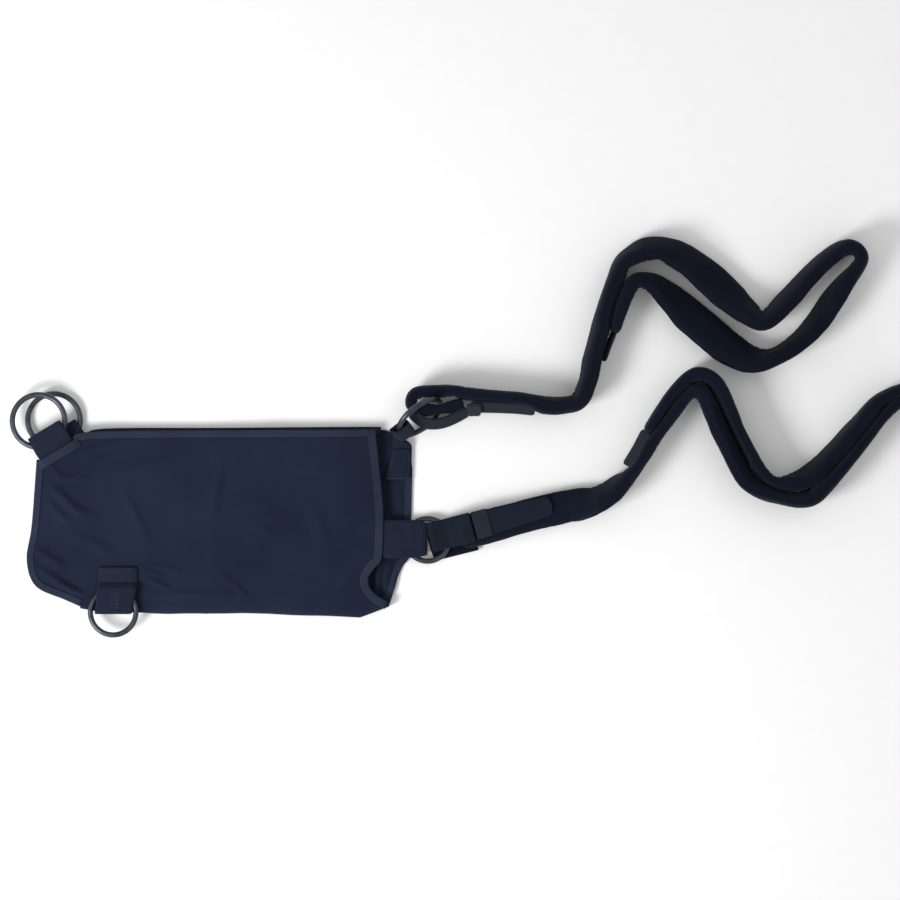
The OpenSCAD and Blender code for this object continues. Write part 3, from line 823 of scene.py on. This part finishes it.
def press_together(p, closing):
    """Move and widen the two passes of a band so that small gaps between them close."""
    n = len(p)
    away = p[:, None, :2] - p[None, :, :2]
    distance = np.linalg.norm(away, axis=2)
    arc = np.abs(np.arange(n)[:, None] - np.arange(n)[None, :]) * SPACING
    # Points of one pass are about as far apart along the band as straight across
    same_pass = arc < 1.6 * distance + 10
    other = np.argmin(np.where(same_pass, 1e6, distance), axis=1)
    rows = np.arange(n)
    gap = distance[rows, other] - p[:, 2] - p[other, 2]
    share = np.where(gap < closing, np.clip(gap, 0, closing) / 4, 0)
    share = np.convolve(share, np.ones(7) / 7, mode="same")
    towards = -unit_rows(away[rows, other])
    moved = p.copy()
    moved[:, :2] += towards * share[:, None]
    moved[:, 2] += share
    return moved


def tube_faces(rings):
    """Faces of a closed tube whose points come as rings of SIDES points."""
    faces = [(i * SIDES + j, i * SIDES + (j + 1) % SIDES, (i + 1) * SIDES + (j + 1) % SIDES,
              (i + 1) * SIDES + j) for i in range(rings - 1) for j in range(SIDES)]
    faces.append(tuple(range(SIDES - 1, -1, -1)))
    faces.append(tuple((rings - 1) * SIDES + j for j in range(SIDES)))
    return faces


def padded_strap(name, route, body, replaced, flip_at, low_start=0, flat_until=-RISE_LENGTH,
                 closing=5):
    """One padded band swept along its route, with a seam down each edge. Its lean changes
    sides at the share `flip_at` of its length. Over its first `low_start` mm it is a lower
    pad that fits through a ring. Up to `flat_until` it lies flat. Where its two passes are
    less than `closing` apart they touch."""
    p = press_together(catmull(route, SPACING), closing)
    n = len(p)
    left = left_of(p)
    bend = np.gradient(np.unwrap(np.arctan2(-left[:, 0], left[:, 1]))) / SPACING
    bend = np.convolve(bend, np.ones(5) / 5, mode="same")
    seam = np.exp(-(np.sin(ROUND) / 0.13) ** 2)
    piping = np.exp(-((np.abs(np.sin(ROUND)) - 0.3) / 0.14) ** 2)
    verts = []
    for i in range(n):
        along, a = i * SPACING, p[i, 2]
        thick = min(BAND_THICK, a)
        turn = np.interp(-a, -PLAN_REACH, TURNS) if a > BAND_THICK else math.pi / 2
        _, half_height = reach(turn, BAND_HALF, thick)
        over = clamp((i - n * flip_at) * SPACING / FLIP_LENGTH + 0.5)
        edge = clamp((along - flat_until) / RISE_LENGTH)
        turn = -(turn + (math.pi - 2 * turn) * ease(over)) * edge
        half = a * (1 - edge) + BAND_HALF * edge
        half_height = thick * (1 - edge) + half_height * edge
        x = SECTION_X * half * (1 - 0.07 * seam + 0.012 * piping)
        y = SECTION_Y * thick
        cap = 0.55 + 0.45 * rounded(min(i, n - 1 - i) * SPACING, END_RADIUS)
        swell = cap * (1 + 0.025 * float(value_noise(along, 0, 26, 11)))
        px = (x * math.cos(turn) - y * math.sin(turn)) * swell
        pz = (x * math.sin(turn) + y * math.cos(turn)) * swell
        dip = cloth_wrinkles(along, px, pz, bend[i], a)
        keep = 1 - dip / np.maximum(np.hypot(px, pz), 4)
        px, pz = px * keep, pz * keep
        middle = half_height
        if along < low_start:
            f = ease(clamp((low_start - along) / PAD_LENGTH))
            pz = pz * (1 - f + f * PAD_HALF / half_height)
            middle = half_height * (1 - f) + f * PAD_MIDDLE
        for j in range(SIDES):
            verts.append((p[i, 0] + left[i, 0] * px[j], p[i, 1] + left[i, 1] * px[j],
                          max(FLOOR_GAP, middle + pz[j])))
    strap = piece(name, verts, tube_faces(n), SLEEVE)
    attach(strap, body)
    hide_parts(*replaced)


def make_inner_pad():
    """The padded end that comes back through the tilted ring and lies over the tape."""
    spacing, half_wide, half_thick, height, slope = 2, 6.7, 3.1, 29.8, 0.16
    waist_x, waist_depth, waist_length, round_end = -27, 1.9, 8, 5
    p = catmull([(x, y, 0) for x, y in INNER_PAD], spacing)
    n = len(p)
    left = left_of(p)
    verts = []
    for i in range(n):
        cap = 0.4 + 0.6 * rounded(min(i, n - 1 - i) * spacing, round_end)
        waist = waist_depth * math.exp(-((p[i, 0] - waist_x) / waist_length) ** 2)
        for j in range(SIDES):
            across = SECTION_X[j] * (half_wide - waist) * cap
            crease = 0.25 * float(value_noise(i * spacing, across, 6, 21))
            verts.append((p[i, 0] + left[i, 0] * across, p[i, 1] + left[i, 1] * across,
                          height + slope * across + SECTION_Y[j] * half_thick * cap + crease))
    pad = piece("upper_strap_inner_padding", verts, tube_faces(n), SLEEVE)
    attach(pad, "upper_strap")


def standing_tape(name, line, body, replaced, material, low, high, lean, thickness=1.6):
    """A tape on its edge from `low` to `high`, whose top is 2 * `lean` to the left of its
    bottom."""
    spacing, corner = 2.5, 5
    path = catmull([(x, y, (low + high) / 2) for x, y in line], spacing)
    count = np.arange(len(path))
    shape = rounded(np.minimum(count, count[::-1]) * spacing + 1.5, corner)
    half = np.full(len(path), (high - low) / 2)
    side = np.c_[left_of(path) * lean, half] * shape[:, None]
    tape = ribbon(name, path, side, thickness, material)
    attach(tape, body)
    if replaced:
        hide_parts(replaced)


def make_upper_strap():
    padded_strap("upper_strap_padding", ROUTE_A, "upper_strap",
                 ["upper_strap_sleeve", "upper_strap_core", "upper_strap_end_pad"], 0.62,
                 low_start=75)
    make_inner_pad()
    standing_tape("upper_strap_ring_strip", UPPER_TAPE, "upper_strap", "upper_strap_ring_tape",
                  TAPE, low=7.5, high=33, lean=5.2, thickness=1.8)
    standing_tape("upper_ring_closure_strip", UPPER_CLOSURE, "upper_strap_ring_closure",
                  "upper_strap_ring_closure", TAPE, low=8, high=33, lean=5.2)
    standing_tape("upper_ring_closure_band", UPPER_BAND, "upper_strap_ring_closure", None,
                  TAPE_LIGHT, low=7, high=34, lean=5.8, thickness=3.6)
    standing_tape("upper_far_closure_strip", UPPER_FAR, "upper_strap_far_closure",
                  "upper_strap_far_closure", TAPE, low=6, high=30, lean=2.6)


def flat_strip(name, start, heading, length, body, replaced, material, halves, heights,
               thickness, round_start=0.0, round_end=0.0):
    """A flat strip of tape from `start`. Its half width goes from the first to the second of
    `halves`, its middle follows `heights`, and its ends can be rounded."""
    d = np.array((math.cos(heading), math.sin(heading)))
    steps = np.linspace(0, length, max(8, int(length / 1.2)))
    path = np.c_[start[0] + d[0] * steps, start[1] + d[1] * steps, between(heights, steps)]
    width = np.interp(steps, (0, length), halves)
    for gap, radius in ((steps, round_start), (length - steps, round_end)):
        if radius:
            width -= radius * (1 - rounded(gap, radius))
    side = np.c_[-d[1] * width, d[0] * width, np.zeros(len(steps))]
    strip = ribbon(name, path, side, thickness, material, cols=13)
    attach(strip, body)
    if replaced:
        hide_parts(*replaced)


def make_lower_ring_loop(u):
    """The tape that goes from the lower strap through its ring and back over the strap."""
    fold, half_width, shift = 3.0, 14.8, 1.2
    centre, _, outer = ring_place("lower_ring")
    s = np.array((-u[1], u[0], 0))
    straight = fold + LOOP_H + 4
    profile = ([(40, 1.2), (34, -2.2), (27, -LOOP_H), (straight, -LOOP_H)]
               + turn_back(fold, -1)
               + [(straight + 1, LOOP_H), (outer / 2 - 4, LOOP_H + 0.4),
                  (outer / 2 + 2, LOOP_H + 3), (31, 8.6), (36, 10.8), (44, 11.4), (46.5, 11.5)])
    line = catmull([(a, b, 0) for a, b in profile], 1.6)
    path = np.array([centre + u * a + s * shift + np.array((0, 0, b)) for a, b, _ in line])
    side = np.tile(s * half_width, (len(line), 1))
    tape = ribbon("lower_strap_ring_loop", path, side, TAPE_T, TAPE, cols=15)
    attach(tape, "lower_strap")
    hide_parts("lower_strap_ring_tape", "lower_strap_loop_tape")


def make_lower_strap():
    padded_strap("lower_strap_padding", ROUTE_B, "lower_strap",
                 ["lower_strap_sleeve", "lower_strap_core"], 0.58, flat_until=112, closing=12)
    u = np.array((math.cos(LOWER_HEADING), math.sin(LOWER_HEADING), 0))
    make_lower_ring_loop(u)
    hinge = np.array(joint("lower_strap_ring_closure_peel")["pos_m"]) / MM
    flat_strip("lower_ring_closure_strip", hinge[:2] + u[:2] * 0.5, LOWER_HEADING, 80,
               "lower_strap_ring_closure", ["lower_strap_ring_closure"], TAPE,
               halves=(13.8, 9.6), heights=[(0, hinge[2] - 0.7), (80, hinge[2] - 0.9)],
               thickness=1.7, round_end=6.0)
    flat_strip("lower_ring_closure_band", hinge[:2] + u[:2] * 0.3, LOWER_HEADING, 16,
               "lower_strap_ring_closure", [], TAPE_LIGHT, halves=(14.2, 13.8),
               heights=[(0, hinge[2] + 0.1), (3, hinge[2] + 0.4), (16, hinge[2] + 0.3)],
               thickness=1.2)
    flat_strip("lower_strap_tongue", (-37, -110), math.radians(16), 46, "lower_strap", [],
               SLEEVE, halves=(15, 16.5), heights=[(0, 1.6), (26, 1.8), (46, 4)],
               thickness=2.6, round_start=7.0)
    standing_tape("lower_far_closure_strip", LOWER_FAR, "lower_strap_far_closure",
                  "lower_strap_far_closure", TAPE, low=6, high=30, lean=5.0)


# ---- floor, lights and camera ----
# Lamps, aimed at the origin: name, place, size and power
LAMPS = [("key", (-1.15, -0.75, 1.15), 0.6, 25), ("fill", (1.6, 0.9, 1.8), 1.8, 5)]
WORLD_LIGHT = 0.61


def make_stage():
    bpy.ops.mesh.primitive_plane_add(size=12, location=(0, 0, -0.0002))
    floor = bpy.context.object
    floor.name = "floor"
    floor.data.materials.append(floor_material())
    world = bpy.data.worlds.new("studio")
    bpy.context.scene.world = world
    world.use_nodes = True
    background = world.node_tree.nodes["Background"]
    background.inputs["Color"].default_value = (1, 1, 1, 1)
    background.inputs["Strength"].default_value = WORLD_LIGHT
    for name, at, size, power in LAMPS:
        lamp = bpy.data.lights.new(name, "AREA")
        lamp.size = size
        lamp.energy = power
        holder = bpy.data.objects.new(name, lamp)
        holder.location = at
        holder.rotation_euler = (-Vector(at)).to_track_quat("-Z", "Y").to_euler()
        bpy.context.scene.collection.objects.link(holder)


def make_camera():
    """Straight above, far enough away for an almost flat view."""
    view_width, distance, sensor = 0.9, 5.0, 36
    x, y, focus_z = -0.017, -0.013, 0.012
    data = bpy.data.cameras.new("camera")
    data.sensor_width = sensor
    data.lens = sensor * distance / view_width
    camera = bpy.data.objects.new("camera", data)
    camera.location = (x, y, distance + focus_z)
    bpy.context.scene.collection.objects.link(camera)
    bpy.context.scene.camera = camera
    bpy.context.scene.view_settings.view_transform = "Standard"


make_camera()
make_stage()
make_sheet()
make_hems()
for ring_name in ("front_corner_ring", "back_corner_ring", "face_ring", "upper_ring", "lower_ring"):
    make_ring(ring_name)
make_tabs()
make_lower_tab()
make_upper_tab()
make_upper_strap()
make_lower_strap()

bpy.context.view_layer.update()
